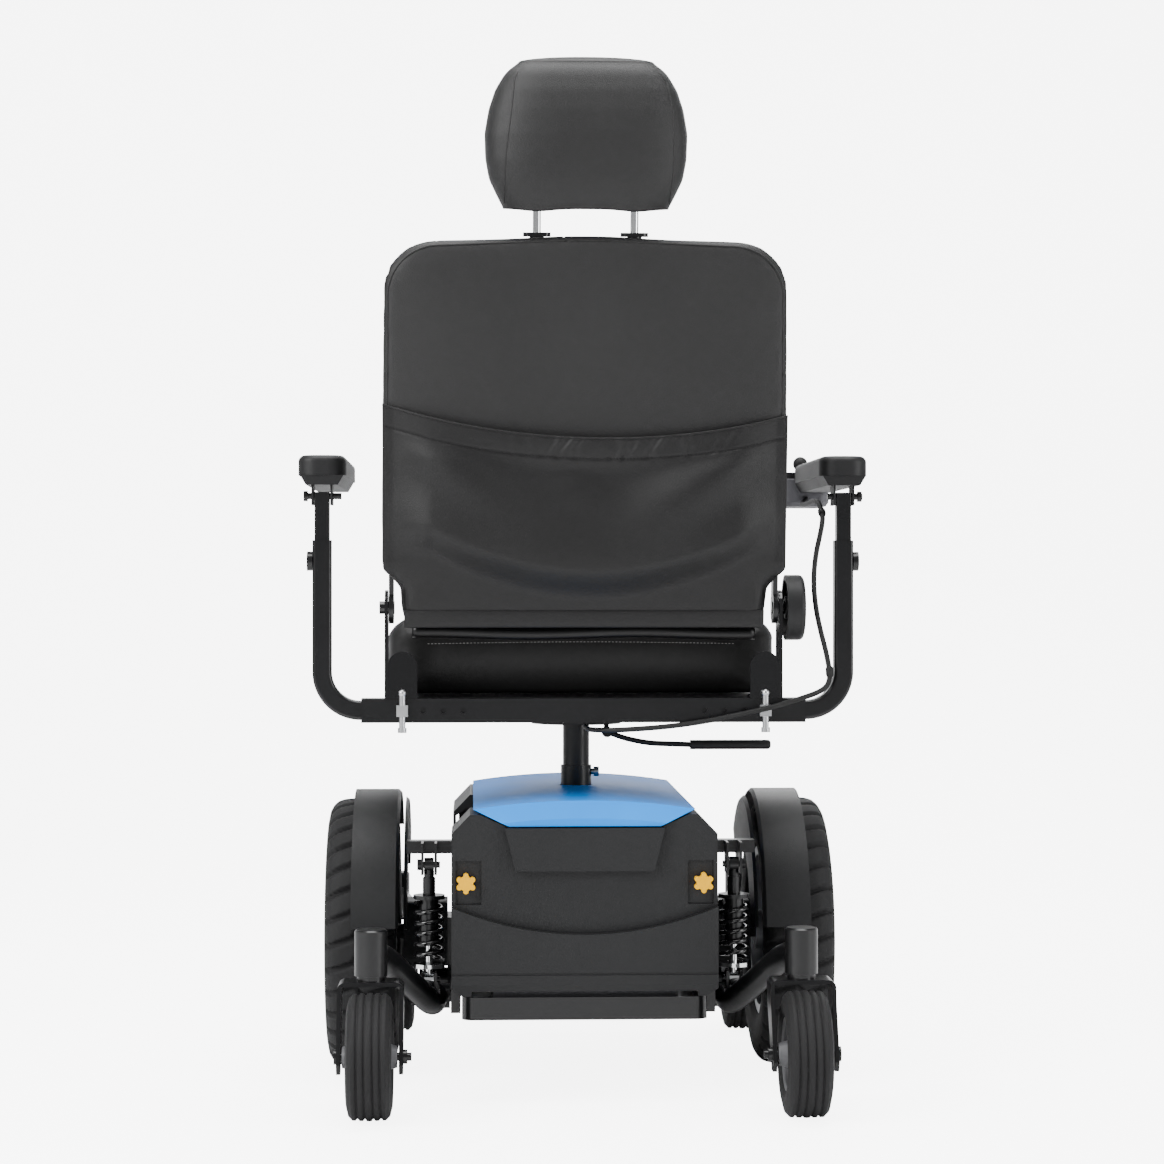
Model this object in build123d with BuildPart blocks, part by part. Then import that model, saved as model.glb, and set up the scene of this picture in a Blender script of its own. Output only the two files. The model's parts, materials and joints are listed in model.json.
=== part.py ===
"""Power wheelchair: mid-wheel drive base on six wheels, with a captain's seat that swivels on a post.

Millimetres. +Y is the way the chair drives, +X is its right-hand side and +Z is up.
The origin is on the floor, at the middle of the chair's length and width.
"""

from build123d import *
from math import cos, pi, radians, sin, tan
import os

os.makedirs("parts", exist_ok=True)

# ---------------------------------------------------------------- driving dimensions
LENGTH = 1042
AXLE_Y = -60  # drive axle, which is also the seat post's line
DRIVE_R = 178
DRIVE_IN, DRIVE_OUT = 237, 329  # drive tyre's inner and outer faces
CASTER_R = 76
CASTER_HALF = 27
TRAIL = 40
REAR_X, REAR_Y = 262, -405  # rear swivel axis
FRONT_X, FRONT_Y = 250, 260  # front swivel axis
REAR_PIVOT = (-185, 110)  # y, z of the rear arms' pivot
FRONT_PIVOT = (0, 105)
PIVOT_PIN_R = 8
SHOCK_X, SHOCK_Y = 194, -250
SHOCK_TOP, SHOCK_FOOT = 286, 140  # heights of the shock absorber's two pins
SHOCK_PIN_R = 4

BODY_HALF = 165  # half width of the shrouds
SCREW_X = 147  # thumb screws
RAIL_IN, RAIL_OUT = 154, 166
TRAY_FLOOR, TRAY_TOP = 104, 133
SHROUD_TOP = 357  # of the body's shoulders
VALLEY = 342  # of the body's top between them, under the lid
BEAM_Y0, BEAM_Y1, BEAM_Z0, BEAM_Z1 = -228, -204, 298, 314

POST_R, SLEEVE_R, SLEEVE_TOP = 17.75, 20.5, 400
SWIVEL_Z = 461  # top of the post's flange
FRAME_Z, PAN_Z = 467, 497  # underside of the spine and of the seat pan
TUBE_Y0, TUBE_Y1, TUBE_Z0, TUBE_Z1, TUBE_HALF = -325, -295, 470, 500, 277

HINGE_Y, HINGE_Z, BACK_TILT = -305, 613, 8
BACK_HALF, BACK_TOP = 255, 460
HEADREST_X = 60  # headrest rods

ARM_X, ARM_Y = 326, -310
ARM_TUBE, RISER_TUBE = 23.6, 18.4
ARM_PIVOT_Z, ARM_TOP = 752, 803
GAP = 0.1  # free play round each turning or sliding fit

SIDES = ((-1, "left"), (1, "right"))
back_plane = Plane(
    origin=(0, HINGE_Y, HINGE_Z),
    x_dir=(1, 0, 0),
    z_dir=(0, -cos(radians(BACK_TILT)), -sin(radians(BACK_TILT))),
)


def save(part, name):
    part.label = name
    export_step(part, f"parts/{name}.step")


def block(x0, x1, y0, y1, z0, z1, mode=Mode.ADD):
    """A box between two corners, in the builder that is open."""
    middle = ((x0 + x1) / 2, (y0 + y1) / 2, (z0 + z1) / 2)
    with Locations(middle):
        Box(abs(x1 - x0), abs(y1 - y0), abs(z1 - z0), mode=mode)


def across(x0, x1, y, z, radius, mode=Mode.ADD):
    """A round bar or bore along X, from x0 to x1."""
    with Locations(Location(((x0 + x1) / 2, y, z), (0, 90, 0))):
        Cylinder(radius, abs(x1 - x0), mode=mode)


def upright(x, y, z0, z1, radius, mode=Mode.ADD):
    """A round bar or bore along Z, from z0 to z1."""
    with Locations((x, y, (z0 + z1) / 2)):
        Cylinder(radius, z1 - z0, mode=mode)


def bent_radii(points, share=0.45):
    """For each corner of a route, the arc that is share of its shorter run over tan(half the turn)."""
    corners = [Vector(*p) for p in points]
    radii = []
    for a, b, c in zip(corners, corners[1:], corners[2:]):
        turn = radians((b - a).get_angle(c - b))
        radii.append(share * min((b - a).length, (c - b).length) / tan(turn / 2))
    return radii


# ---------------------------------------------------------------- base: frame, tray, batteries
def base_frame():
    """Welded steel: two rails, the shock beam, the post's tower, the pivots and the footrest hanger."""
    with BuildPart() as frame:
        for side, _ in SIDES:
            block(side * RAIL_IN, side * RAIL_OUT, -300, 170, 105, 133)
            block(side * 140, side * 152, BEAM_Y0, BEAM_Y1, 133, BEAM_Z0)
            block(side * 140, side * RAIL_OUT, BEAM_Y0, BEAM_Y1, 133, 138)
            block(side * RAIL_OUT, side * 172, AXLE_Y - 35, AXLE_Y + 35, 105, 200)
            # arm pivots, each with a collar that keeps its arm on
            for y, z in (REAR_PIVOT, FRONT_PIVOT):
                across(side * RAIL_OUT, side * 210, y, z, PIVOT_PIN_R)
                across(side * 206.5, side * 210, y, z, 13)
            # ears and pin of the shock absorber's upper end
            for near, far in ((184, 187), (201, 204)):
                block(side * near, side * far, SHOCK_Y - 11, BEAM_Y0, 274, BEAM_Z1)
            across(side * 180, side * 209, SHOCK_Y, SHOCK_TOP, SHOCK_PIN_R)
            across(side * 204, side * 209, SHOCK_Y, SHOCK_TOP, 7)
            # footrest hanger
            block(side * RAIL_IN, side * RAIL_OUT, 164, 170, TRAY_FLOOR - 6, 106)
            block(side * 95, side * 107, 164, 215, TRAY_FLOOR - 6, TRAY_FLOOR - 0.5)
            block(side * 95, side * 107, 203, 289, TRAY_FLOOR - 6, 122)
            across(side * 78, side * 110, 275, 112, 5)
        block(-223, 223, BEAM_Y0, BEAM_Y1, BEAM_Z0, BEAM_Z1)
        block(-RAIL_OUT, RAIL_OUT, AXLE_Y - 40, AXLE_Y + 40, 133, 141)
        block(-RAIL_OUT, RAIL_OUT, 164, 170, TRAY_FLOOR - 6, TRAY_FLOOR - 0.5)
        block(-45, 45, AXLE_Y - 3, AXLE_Y + 3, 141, 330)
        block(-3, 3, AXLE_Y - 36, AXLE_Y + 36, 141, 330)
        upright(0, AXLE_Y, 141, SLEEVE_TOP, SLEEVE_R)
        upright(0, AXLE_Y, 200, SLEEVE_TOP, POST_R + GAP, mode=Mode.SUBTRACT)
    save(frame.part, "base_frame")


def battery_tray():
    """Pressed pan that the batteries stand in, between the rails."""
    with BuildPart() as tray:
        with BuildSketch(Plane.XY.offset(TRAY_FLOOR)):
            with Locations((0, -78)):
                RectangleRounded(304, 548, 14)
        extrude(amount=TRAY_TOP - TRAY_FLOOR - 1)
        offset(amount=-3, openings=tray.faces().sort_by(Axis.Z)[-1])
    save(tray.part, "battery_tray")


def batteries():
    """Two sealed batteries, one behind the post and one in front, with their terminals."""
    with BuildPart() as cells:
        for y0 in (-336, 5):
            block(-114, 114, y0, y0 + 138, 107.5, 276)
            for x in (-90, 90):
                upright(x, y0 + 69, 276, 286, 8)
    save(cells.part, "batteries")


def shroud_outline(shrink=0):
    """Corners of the body seen from behind: upright sides, cut corners and, on top, a valley for the lid."""
    half = BODY_HALF - shrink
    if shrink:
        right = [(half - 16, VALLEY - shrink), (half, VALLEY - 14)]
    else:
        right = [(96, VALLEY), (130, SHROUD_TOP), (142, SHROUD_TOP), (half, SHROUD_TOP - 24)]
    right += [(half, TRAY_TOP + 10 + shrink), (half - 14, TRAY_TOP + shrink)]
    return [(-x, z) for x, z in reversed(right)] + right


def rear_shroud():
    """Moulded cover of the rear battery: a proud lower bumper under a curved ledge, and a proud brow."""
    rear, set_back, wall = -360, 14, 3
    with BuildPart() as shroud:
        with BuildSketch(Plane.XZ.offset(-rear - set_back)):
            with BuildLine():
                Polyline(*shroud_outline(), close=True)
            make_face()
        extrude(amount=rear + set_back + 232)
        # bumper below the ledge, whose edge sags towards the middle
        with BuildSketch(Plane.XZ.offset(-rear)) as bumper:
            with BuildLine():
                foot = Polyline(
                    (-BODY_HALF, 244),
                    (-BODY_HALF, TRAY_TOP + 10),
                    (-BODY_HALF + 14, TRAY_TOP),
                    (BODY_HALF - 14, TRAY_TOP),
                    (BODY_HALF, TRAY_TOP + 10),
                    (BODY_HALF, 244),
                )
                ThreePointArc(foot @ 1, (0, 210), foot @ 0)
            make_face()
        extrude(amount=-set_back)
        # brow over the grip recess
        with BuildSketch(Plane.XZ.offset(-rear - 3)):
            with BuildLine():
                Polyline((-99, 341), (-86, 288), (86, 288), (99, 341), close=True)
            make_face()
        extrude(amount=-set_back)
        # hollow, open to the front and below
        with BuildSketch(Plane.XZ.offset(-rear - set_back - wall)):
            with BuildLine():
                Polyline(*shroud_outline(shrink=wall), close=True)
            make_face()
        extrude(amount=rear + set_back + wall + 232, mode=Mode.SUBTRACT)
        block(-140, 140, rear + 4, rear + 20, TRAY_TOP - 1, 200, mode=Mode.SUBTRACT)
        block(-140, 140, -340, -232, TRAY_TOP - 1, 200, mode=Mode.SUBTRACT)
        # shallow steps across the bumper's foot
        block(-170, 170, rear - 1, rear + 1.6, 160, 163, mode=Mode.SUBTRACT)
        with BuildSketch(Plane.YZ.offset(-170)):
            with BuildLine():
                Polyline((rear - 1, 148), (rear, 148), (rear + 8, 132), (rear - 1, 132), close=True)
            make_face()
        extrude(amount=340, mode=Mode.SUBTRACT)
        # pockets of the two thumb screws
        for side, _ in SIDES:
            block(side * 128, side * 160, rear - 1, rear + 18, 246, 300, mode=Mode.SUBTRACT)
            block(side * 126, side * 162, rear + 18, rear + 21, 244, 302)
            with Locations(Location((side * SCREW_X, rear + 19.5, 273), (90, 0, 0))):
                Cylinder(4.3, 20, mode=Mode.SUBTRACT)
    save(shroud.part, "rear_shroud")


def top_shroud():
    """Coloured lid in the valley over both batteries, crowned on top, with a bevelled rear and a post hole."""
    with BuildPart() as lid:
        with BuildSketch(Plane.XZ.offset(352)):
            with BuildLine():
                low = Line((-94, VALLEY + 1), (94, VALLEY + 1))
                flank = Line(low @ 1, (138, 363))
                crown = ThreePointArc(flank @ 1, (0, 374), (-138, 363))
                Line(crown @ 1, low @ 0)
            make_face()
        extrude(amount=-352 - 186)
        chamfer(lid.faces().sort_by(Axis.Y)[0].edges().sort_by(Axis.Z)[-1], 15, 21)
        chamfer(lid.faces().sort_by(Axis.Y)[-1].edges().sort_by(Axis.Z)[-1], 20)
        block(-96, 96, -320, 160, VALLEY, VALLEY + 16, mode=Mode.SUBTRACT)
        upright(0, AXLE_Y, SHROUD_TOP - 20, SHROUD_TOP + 40, SLEEVE_R + 2, mode=Mode.SUBTRACT)
    save(lid.part, "top_shroud")


def front_shroud():
    """Moulded cover of the front battery, with a rounded nose, open behind and below."""
    with BuildPart() as nose:
        with BuildSketch(Plane.XZ.offset(20)):
            with BuildLine():
                Polyline(*shroud_outline(), close=True)
            make_face()
        extrude(amount=-20 - 198)
        fillet(nose.faces().sort_by(Axis.Y)[-1].edges(), 18)
        with BuildSketch(Plane.XZ.offset(21)):
            with BuildLine():
                Polyline(*shroud_outline(shrink=3), close=True)
            make_face()
        extrude(amount=-21 - 194, mode=Mode.SUBTRACT)
        block(-148, 148, -30, 190, TRAY_TOP - 1, 140, mode=Mode.SUBTRACT)
        # the motors' mounting plates and the tower pass here
        block(-170, 170, -30, AXLE_Y + 42, TRAY_TOP - 1, 205, mode=Mode.SUBTRACT)
    save(nose.part, "front_shroud")


# ---------------------------------------------------------------- drive
def drive_motor(side, tag):
    """Right-angle gearbox on the axle, with its motor and brake lying forward along the frame."""
    x_mid = side * 201
    with BuildPart() as motor:
        block(side * 172, side * 230, AXLE_Y - 42, AXLE_Y + 42, 135, 221)
        fillet(motor.edges().filter_by(Axis.X), 16)
        with Locations(Location((x_mid, 36, DRIVE_R), (90, 0, 0))):
            Cylinder(29, 116)
        with Locations(Location((x_mid, 103, DRIVE_R), (90, 0, 0))):
            Cylinder(24, 18)
        across(side * 230, side * 280, AXLE_Y, DRIVE_R, 10)
    save(motor.part, f"drive_motor_{tag}")


def fender(side, tag):
    """Wheel guard: a rolled crown over the inner part of the tyre, and a side wall with a bevelled rim."""
    crown_r, wall, start, sweep = 190, 4, 45, 127
    inner, outer = 223, 294
    with BuildPart() as guard:
        with BuildSketch(Plane.YZ.offset(side * inner)) as arch:
            with BuildLine():
                for radius in (crown_r, 116):
                    CenterArc((AXLE_Y, DRIVE_R), radius, start, sweep)
                for angle in (start, start + sweep):
                    Line(
                        (AXLE_Y + crown_r * cos(radians(angle)), DRIVE_R + crown_r * sin(radians(angle))),
                        (AXLE_Y + 116 * cos(radians(angle)), DRIVE_R + 116 * sin(radians(angle))),
                    )
            make_face()
        extrude(amount=side * (outer - inner))
        crown = guard.edges().filter_by(GeomType.CIRCLE).group_by(Axis.Z)[-1]
        chamfer(crown.sort_by(Axis.X)[0 if side > 0 else -1], 14)
        with Locations(Location((side * (inner + 4 + 45), AXLE_Y, DRIVE_R), (0, 90, 0))):
            Cylinder(crown_r - wall, 90, mode=Mode.SUBTRACT)
    save(guard.part, f"fender_{tag}")


def drive_wheel(side, tag):
    """Solid tyre on a rim of five double spokes, turning on the gearbox's shaft."""
    mid = side * (DRIVE_IN + DRIVE_OUT) / 2
    half = (DRIVE_OUT - DRIVE_IN) / 2
    with BuildPart() as tyre:
        with BuildSketch(Plane.XZ.offset(-AXLE_Y)):
            with BuildLine():
                Polyline(
                    (mid - half + 8, DRIVE_R + 112),
                    (mid - half, DRIVE_R + 130),
                    (mid - half, DRIVE_R + 158),
                    (mid - half + 12, DRIVE_R + 173),
                    (mid - 20, DRIVE_R + DRIVE_R),
                    (mid + 20, DRIVE_R + DRIVE_R),
                    (mid + half - 12, DRIVE_R + 173),
                    (mid + half, DRIVE_R + 158),
                    (mid + half, DRIVE_R + 130),
                    (mid + half - 8, DRIVE_R + 112),
                    close=True,
                )
            make_face()
        revolve(axis=Axis((0, AXLE_Y, DRIVE_R), (1, 0, 0)))
    save(tyre.part, f"drive_tyre_{tag}")

    with BuildPart() as rim:
        across(mid - 38, mid + 38, AXLE_Y, DRIVE_R, 112)
        across(mid - 39, mid + 39, AXLE_Y, DRIVE_R, 100, mode=Mode.SUBTRACT)
        across(mid - 12, mid + 12, AXLE_Y, DRIVE_R, 101)
        with BuildSketch(Plane.YZ.offset(mid - 13)):
            with Locations((AXLE_Y, DRIVE_R)):
                with PolarLocations(66, 5):
                    SlotCenterToCenter(34, 36, rotation=90)
        extrude(amount=26, mode=Mode.SUBTRACT)
        across(side * 240, side * 284, AXLE_Y, DRIVE_R, 26)
        across(side * 230, side * 280 + side * GAP, AXLE_Y, DRIVE_R, 10 + GAP, mode=Mode.SUBTRACT)
    save(rim.part, f"drive_rim_{tag}")


# ---------------------------------------------------------------- casters and their arms
def rear_arm(side, tag):
    """Bent tube from the frame's pivot, out and back to the caster's head tube, with the shock's bracket."""
    y, z = REAR_PIVOT
    route = [
        (side * 186, y - 6, z),
        (side * 190, -264, 111),
        (side * 214, -308, 142),
        (side * 246, -352, 182),
        (side * 262, -400, 194),
    ]
    with BuildPart() as arm:
        across(side * 168, side * 200, y, z, 16)
        with BuildLine() as path:
            FilletPolyline(route, radius=bent_radii(route))
        with BuildSketch(path.line ^ 0):
            Circle(16)
        sweep(path=path.line)
        upright(REAR_X * side, REAR_Y, 168, 224, 20)
        chamfer(arm.faces().sort_by(Axis.Z)[-1].edges(), 2)
        upright(REAR_X * side, REAR_Y, 160, 219, 8 + GAP, mode=Mode.SUBTRACT)
        across(side * 160, side * 212, y, z, PIVOT_PIN_R + GAP, mode=Mode.SUBTRACT)
        block(side * 180, side * 208, SHOCK_Y - 18, SHOCK_Y + 18, 124, 129)
        for near, far in ((184, 187), (201, 204)):
            block(side * near, side * far, SHOCK_Y - 10, SHOCK_Y + 10, 129, 150)
        across(side * 180, side * 209, SHOCK_Y, SHOCK_FOOT, SHOCK_PIN_R)
    save(arm.part, f"rear_arm_{tag}")


def front_arm(side, tag):
    """Bent tube from the frame's pivot to the front caster's head tube."""
    y, z = FRONT_PIVOT
    route = [
        (side * 186, y + 6, z),
        (side * 190, 55, 104),
        (side * 196, 112, 110),
        (side * 222, 186, 172),
        (side * 250, 255, 194),
    ]
    with BuildPart() as arm:
        across(side * 168, side * 200, y, z, 16)
        with BuildLine() as path:
            FilletPolyline(route, radius=bent_radii(route))
        with BuildSketch(path.line ^ 0):
            Circle(14)
        sweep(path=path.line)
        upright(FRONT_X * side, FRONT_Y, 168, 224, 20)
        chamfer(arm.faces().sort_by(Axis.Z)[-1].edges(), 2)
        upright(FRONT_X * side, FRONT_Y, 160, 219, 8 + GAP, mode=Mode.SUBTRACT)
        across(side * 160, side * 212, y, z, PIVOT_PIN_R + GAP, mode=Mode.SUBTRACT)
    save(arm.part, f"front_arm_{tag}")


def caster(x, swivel_y, end, tag, outward):
    """Strap fork with its stem and axle bolt, and the wheel: a ribbed tyre moulded on a hub."""
    axle_y = swivel_y - TRAIL
    outer, strap, crown_z = 40, 5, 162
    with BuildPart() as fork:
        # side outline of the strap, from the crown back and down to the axle
        with BuildSketch(Plane.YZ.offset(x - outer)):
            with BuildLine():
                Polyline(
                    (swivel_y - 22, crown_z),
                    (swivel_y + 22, crown_z),
                    (swivel_y + 18, crown_z - 26),
                    (axle_y + 15, 68),
                    (axle_y + 8, 56),
                    (axle_y - 8, 56),
                    (axle_y - 15, 68),
                    (swivel_y - 26, crown_z - 26),
                    close=True,
                )
            make_face()
        extrude(amount=2 * outer)
        block(x - outer + strap, x + outer - strap, axle_y - 40, swivel_y + 40, 40, crown_z - strap, mode=Mode.SUBTRACT)
        fillet(fork.edges().filter_by(Axis.Y).group_by(Axis.Z)[-1], 9)
        across(x - 60, x + 60, axle_y, CASTER_R, 5, mode=Mode.SUBTRACT)
        upright(x, swivel_y, crown_z, 216, 8)
        upright(x, swivel_y, crown_z, 167.5, 17)
        across(x - 43, x + 43, axle_y, CASTER_R, 5)
        across(x + outward * outer, x + outward * 43, axle_y, CASTER_R, 9)
        across(x - outward * outer, x - outward * 45, axle_y, CASTER_R, 8.5)
        across(x - outward * 45, x - outward * 50, axle_y, CASTER_R, 5)
    save(fork.part, f"{end}_fork_{tag}")

    with BuildPart() as wheel:
        with BuildSketch(Plane.XZ.offset(-axle_y)):
            with BuildLine():
                shoulder = Polyline(
                    (x - 17, CASTER_R + CASTER_R),
                    (x - 24, CASTER_R + 71),
                    (x - CASTER_HALF, CASTER_R + 60),
                    (x - CASTER_HALF, CASTER_R + 50),
                    (x + CASTER_HALF, CASTER_R + 50),
                    (x + CASTER_HALF, CASTER_R + 60),
                    (x + 24, CASTER_R + 71),
                    (x + 17, CASTER_R + CASTER_R),
                    close=True,
                )
            make_face()
        revolve(axis=Axis((x, axle_y, CASTER_R), (1, 0, 0)))
        hub = across(x - 22, x + 22, axle_y, CASTER_R, 49.95)
        across(x - 23, x - 8, axle_y, CASTER_R, 40, mode=Mode.SUBTRACT)
        across(x + 8, x + 23, axle_y, CASTER_R, 40, mode=Mode.SUBTRACT)
        across(x - 33, x + 33, axle_y, CASTER_R, 14)
        across(x - 40, x + 40, axle_y, CASTER_R, 5 + GAP, mode=Mode.SUBTRACT)
    save(wheel.part, f"{end}_caster_{tag}")


# ---------------------------------------------------------------- shock absorbers
def shocks():
    """Coil-over shock absorbers: damper bodies on the frame, rods on the arms, springs between the seats."""
    with BuildPart() as bodies:
        for side, _ in SIDES:
            x = side * SHOCK_X
            across(x - 6, x + 6, SHOCK_Y, SHOCK_TOP, 9)
            upright(x, SHOCK_Y, 240, 270, 8)
            upright(x, SHOCK_Y, 268, 282, 6.5)
            upright(x, SHOCK_Y, 243, 248, 20)
            upright(x, SHOCK_Y, 186, 244, 12)
            # roomy bore: the rod's foot moves a little fore and aft as the arm swings
            upright(x, SHOCK_Y, 185, 240, 9.5, mode=Mode.SUBTRACT)
            across(x - 7, x + 7, SHOCK_Y, SHOCK_TOP, SHOCK_PIN_R, mode=Mode.SUBTRACT)
    save(bodies.part, "shock_bodies")

    for side, tag in SIDES:
        x = side * SHOCK_X
        with BuildPart() as spring:
            with BuildLine() as coil:
                Helix(pitch=13.2, height=74, radius=16.5, center=(x, SHOCK_Y, 165))
            with BuildSketch(Plane(origin=coil.line @ 0, z_dir=coil.line % 0)):
                Circle(2.9)
            sweep(path=coil.line, is_frenet=True)
        save(spring.part, f"shock_spring_{tag}")

        with BuildPart() as rod:
            across(x - 6, x + 6, SHOCK_Y, SHOCK_FOOT, 9)
            upright(x, SHOCK_Y, 146, 226, 4.5)
            upright(x, SHOCK_Y, 156, 161, 20)
            across(x - 7, x + 7, SHOCK_Y, SHOCK_FOOT, SHOCK_PIN_R + GAP, mode=Mode.SUBTRACT)
        save(rod.part, f"shock_rod_{tag}")


def thumb_screw(side, tag):
    """Six-lobed hand screw that holds the rear shroud on."""
    x, z, rear = side * SCREW_X, 273, -360
    with BuildPart() as screw:
        with BuildSketch(Plane(origin=(x, rear + 3, z), x_dir=(1, 0, 0), z_dir=(0, -1, 0))):
            Circle(9)
            with PolarLocations(9.5, 6, start_angle=90):
                Circle(3.2)
        extrude(amount=-10)
        with Locations(Location((x, rear + 21, z), (90, 0, 0))):
            Cylinder(4, 18)
    save(screw.part, f"thumb_screw_{tag}")


def foot_platform():
    """Flip-up footplate with a raised rim at the sides and stiffening ribs beneath."""
    front = LENGTH / 2
    with BuildPart() as plate:
        with BuildSketch(Plane.XY.offset(94)):
            with BuildLine():
                Polyline(
                    (-118, 290),
                    (118, 290),
                    (118, 385),
                    (170, 420),
                    (170, front - 25),
                    (145, front),
                    (-145, front),
                    (-170, front - 25),
                    (-170, 420),
                    (-118, 385),
                    close=True,
                )
            make_face()
        extrude(amount=6)
        for x in (-88, 0, 88):
            block(x - 4, x + 4, 300, front - 40, 84, 94)
        for side, _ in SIDES:
            block(side * 80, side * 94, 264, 289, 84, 112)
            block(side * 80, side * 94, 280, 316, 84, 94)
            across(side * 80, side * 94, 275, 112, 12)
            across(side * 70, side * 94.6, 275, 112, 5 + GAP, mode=Mode.SUBTRACT)
    save(plate.part, "foot_platform")


# ---------------------------------------------------------------- seat post and seat frame
def seat_post():
    """Round post that stands in the sleeve, with the swivel's flange and king pin on top."""
    with BuildPart() as post:
        upright(0, AXLE_Y, 210, SWIVEL_Z - 5, POST_R)
        upright(0, AXLE_Y, 209, SWIVEL_Z - 20, POST_R - 3.5, mode=Mode.SUBTRACT)
        upright(0, AXLE_Y, SWIVEL_Z - 5, SWIVEL_Z, 60)
        upright(0, AXLE_Y, SWIVEL_Z, SWIVEL_Z + 18, 12)
    save(post.part, "seat_post")

    with BuildPart() as screw:
        across(SLEEVE_R, SLEEVE_R + 8, AXLE_Y, 391, 4)
        across(SLEEVE_R + 3, SLEEVE_R + 10, AXLE_Y, 391, 6.5)
    save(screw.part, "post_lock_screw")


def seat_frame():
    """Welded steel: spine, swivel plate, cushion pan, front cross tube and the rear tube for the armrests."""
    wall = 3
    with BuildPart() as frame:
        block(-25, 25, TUBE_Y1, 150, FRAME_Z, PAN_Z)
        upright(0, AXLE_Y, SWIVEL_Z + 1, FRAME_Z, 62)
        block(-200, 200, 122, 150, 472, PAN_Z)
        block(-TUBE_HALF, TUBE_HALF, TUBE_Y0, TUBE_Y1, TUBE_Z0, TUBE_Z1)
        block(
            -TUBE_HALF,
            TUBE_HALF,
            TUBE_Y0 + wall,
            TUBE_Y1 - wall,
            TUBE_Z0 + wall,
            TUBE_Z1 - wall,
            mode=Mode.SUBTRACT,
        )
        block(-24, 24, TUBE_Y0 + wall, TUBE_Y1, TUBE_Z0 + wall, TUBE_Z1 - wall)
        upright(0, AXLE_Y, SWIVEL_Z, SWIVEL_Z + 19, 12 + GAP, mode=Mode.SUBTRACT)
        # width-setting holes in the rear wall, three each side
        for x in (-200, -175, -150, 150, 175, 200):
            with Locations(Location((x, TUBE_Y0, 485), (90, 0, 0))):
                Cylinder(3.5, 8, mode=Mode.SUBTRACT)
        # pivot stud of the swivel lever, under the rear of the spine
        with BuildSketch(Plane.XY.offset(PAN_Z)):
            with Locations((0, -60)):
                RectangleRounded(450, 460, 25)
        extrude(amount=3)
        block(34, 40, -142, -124, 444, 462)
        block(25, 40, -142, -124, 462, 472)
        with Locations(Location((37, -144, 449), (90, 0, 0))):
            Cylinder(3, 38)
    save(frame.part, "seat_frame")

    with BuildPart() as pins:
        for side, _ in SIDES:
            # each pin drops through a guide on the rear tube, with a knob on top and a nut below
            x = side * 226
            pin_y = TUBE_Y0 - 7.5
            block(x - 7, x + 7, TUBE_Y0 - 12, TUBE_Y0, 478, 492)
            upright(x, pin_y, 462, 506, 4)
            with Locations((x, pin_y, 507)):
                Sphere(5)
            upright(x, pin_y, 458, 464, 5.5)
    save(pins.part, "arm_lock_pins")


def hinge_plates():
    """Seat-side halves of the recliner hinges, with their pivot pins."""
    with BuildPart() as plates:
        for side, _ in SIDES:
            block(side * 244, side * 248, -327, -283, TUBE_Z1, HINGE_Z)
            across(side * 244, side * 248, HINGE_Y, HINGE_Z, 22)
            with BuildSketch(Plane.XZ.offset(323)):
                with Locations((side * 226, 520)):
                    Rectangle(37, 40)
                with Locations((side * 226, 540)):
                    Circle(18.5)
            extrude(amount=4)
            block(side * 207, side * 248, -327, -293, TUBE_Z1, TUBE_Z1 + 4)
        across(236, 272, HINGE_Y, HINGE_Z, 8)
        across(-255, -236, HINGE_Y, HINGE_Z, 8)
    save(plates.part, "hinge_plates")


def swivel_lever():
    """Bent rod with a rubber grip, which lifts to free the swivel."""
    y = -152.5
    route = [(37, y, 449), (62, y, 440), (92, y, 434), (150, y, 432)]
    with BuildPart() as lever:
        with Locations(Location((37, y, 449), (90, 0, 0))):
            Cylinder(7, 12)
        with BuildLine() as path:
            FilletPolyline(route, radius=bent_radii(route))
        with BuildSketch(path.line ^ 0):
            Circle(3.5)
        sweep(path=path.line)
        across(146, 252, y, 432, 6.2)
        fillet(lever.edges().sort_by(Axis.X)[-1], 4)
        with Locations(Location((37, y, 449), (90, 0, 0))):
            Cylinder(3 + GAP, 16, mode=Mode.SUBTRACT)
    save(lever.part, "swivel_lever")


def recline_knob():
    """Large round hand wheel over the right-hand hinge."""
    with BuildPart() as knob:
        across(253, 276, HINGE_Y, HINGE_Z, 41)
        fillet(knob.faces().sort_by(Axis.X)[-1].edges(), 6)
        across(252, 273, HINGE_Y, HINGE_Z, 8 + GAP, mode=Mode.SUBTRACT)
        across(252, 262, HINGE_Y, HINGE_Z, 34, mode=Mode.SUBTRACT)
        across(253, 263, HINGE_Y, HINGE_Z, 14)
        across(252, 273, HINGE_Y, HINGE_Z, 8 + GAP, mode=Mode.SUBTRACT)
    save(knob.part, "recline_knob")


# ---------------------------------------------------------------- cushions and backrest
def seat_cushion():
    """Thick foam cushion on the pan, with a rounded rear that the backrest folds over."""
    with BuildPart() as cushion:
        block(-252, 252, -258, 190, PAN_Z + 3.2, 606)
        fillet(cushion.edges().filter_by(Axis.Z), 38)
        fillet(cushion.faces().sort_by(Axis.Z)[-1].edges(), 28)
        # rear corners make room for the hinges
        for side, _ in SIDES:
            block(side * 200, side * 260, -300, -250, 490, 640, mode=Mode.SUBTRACT)
    save(cushion.part, "seat_cushion")


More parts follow.
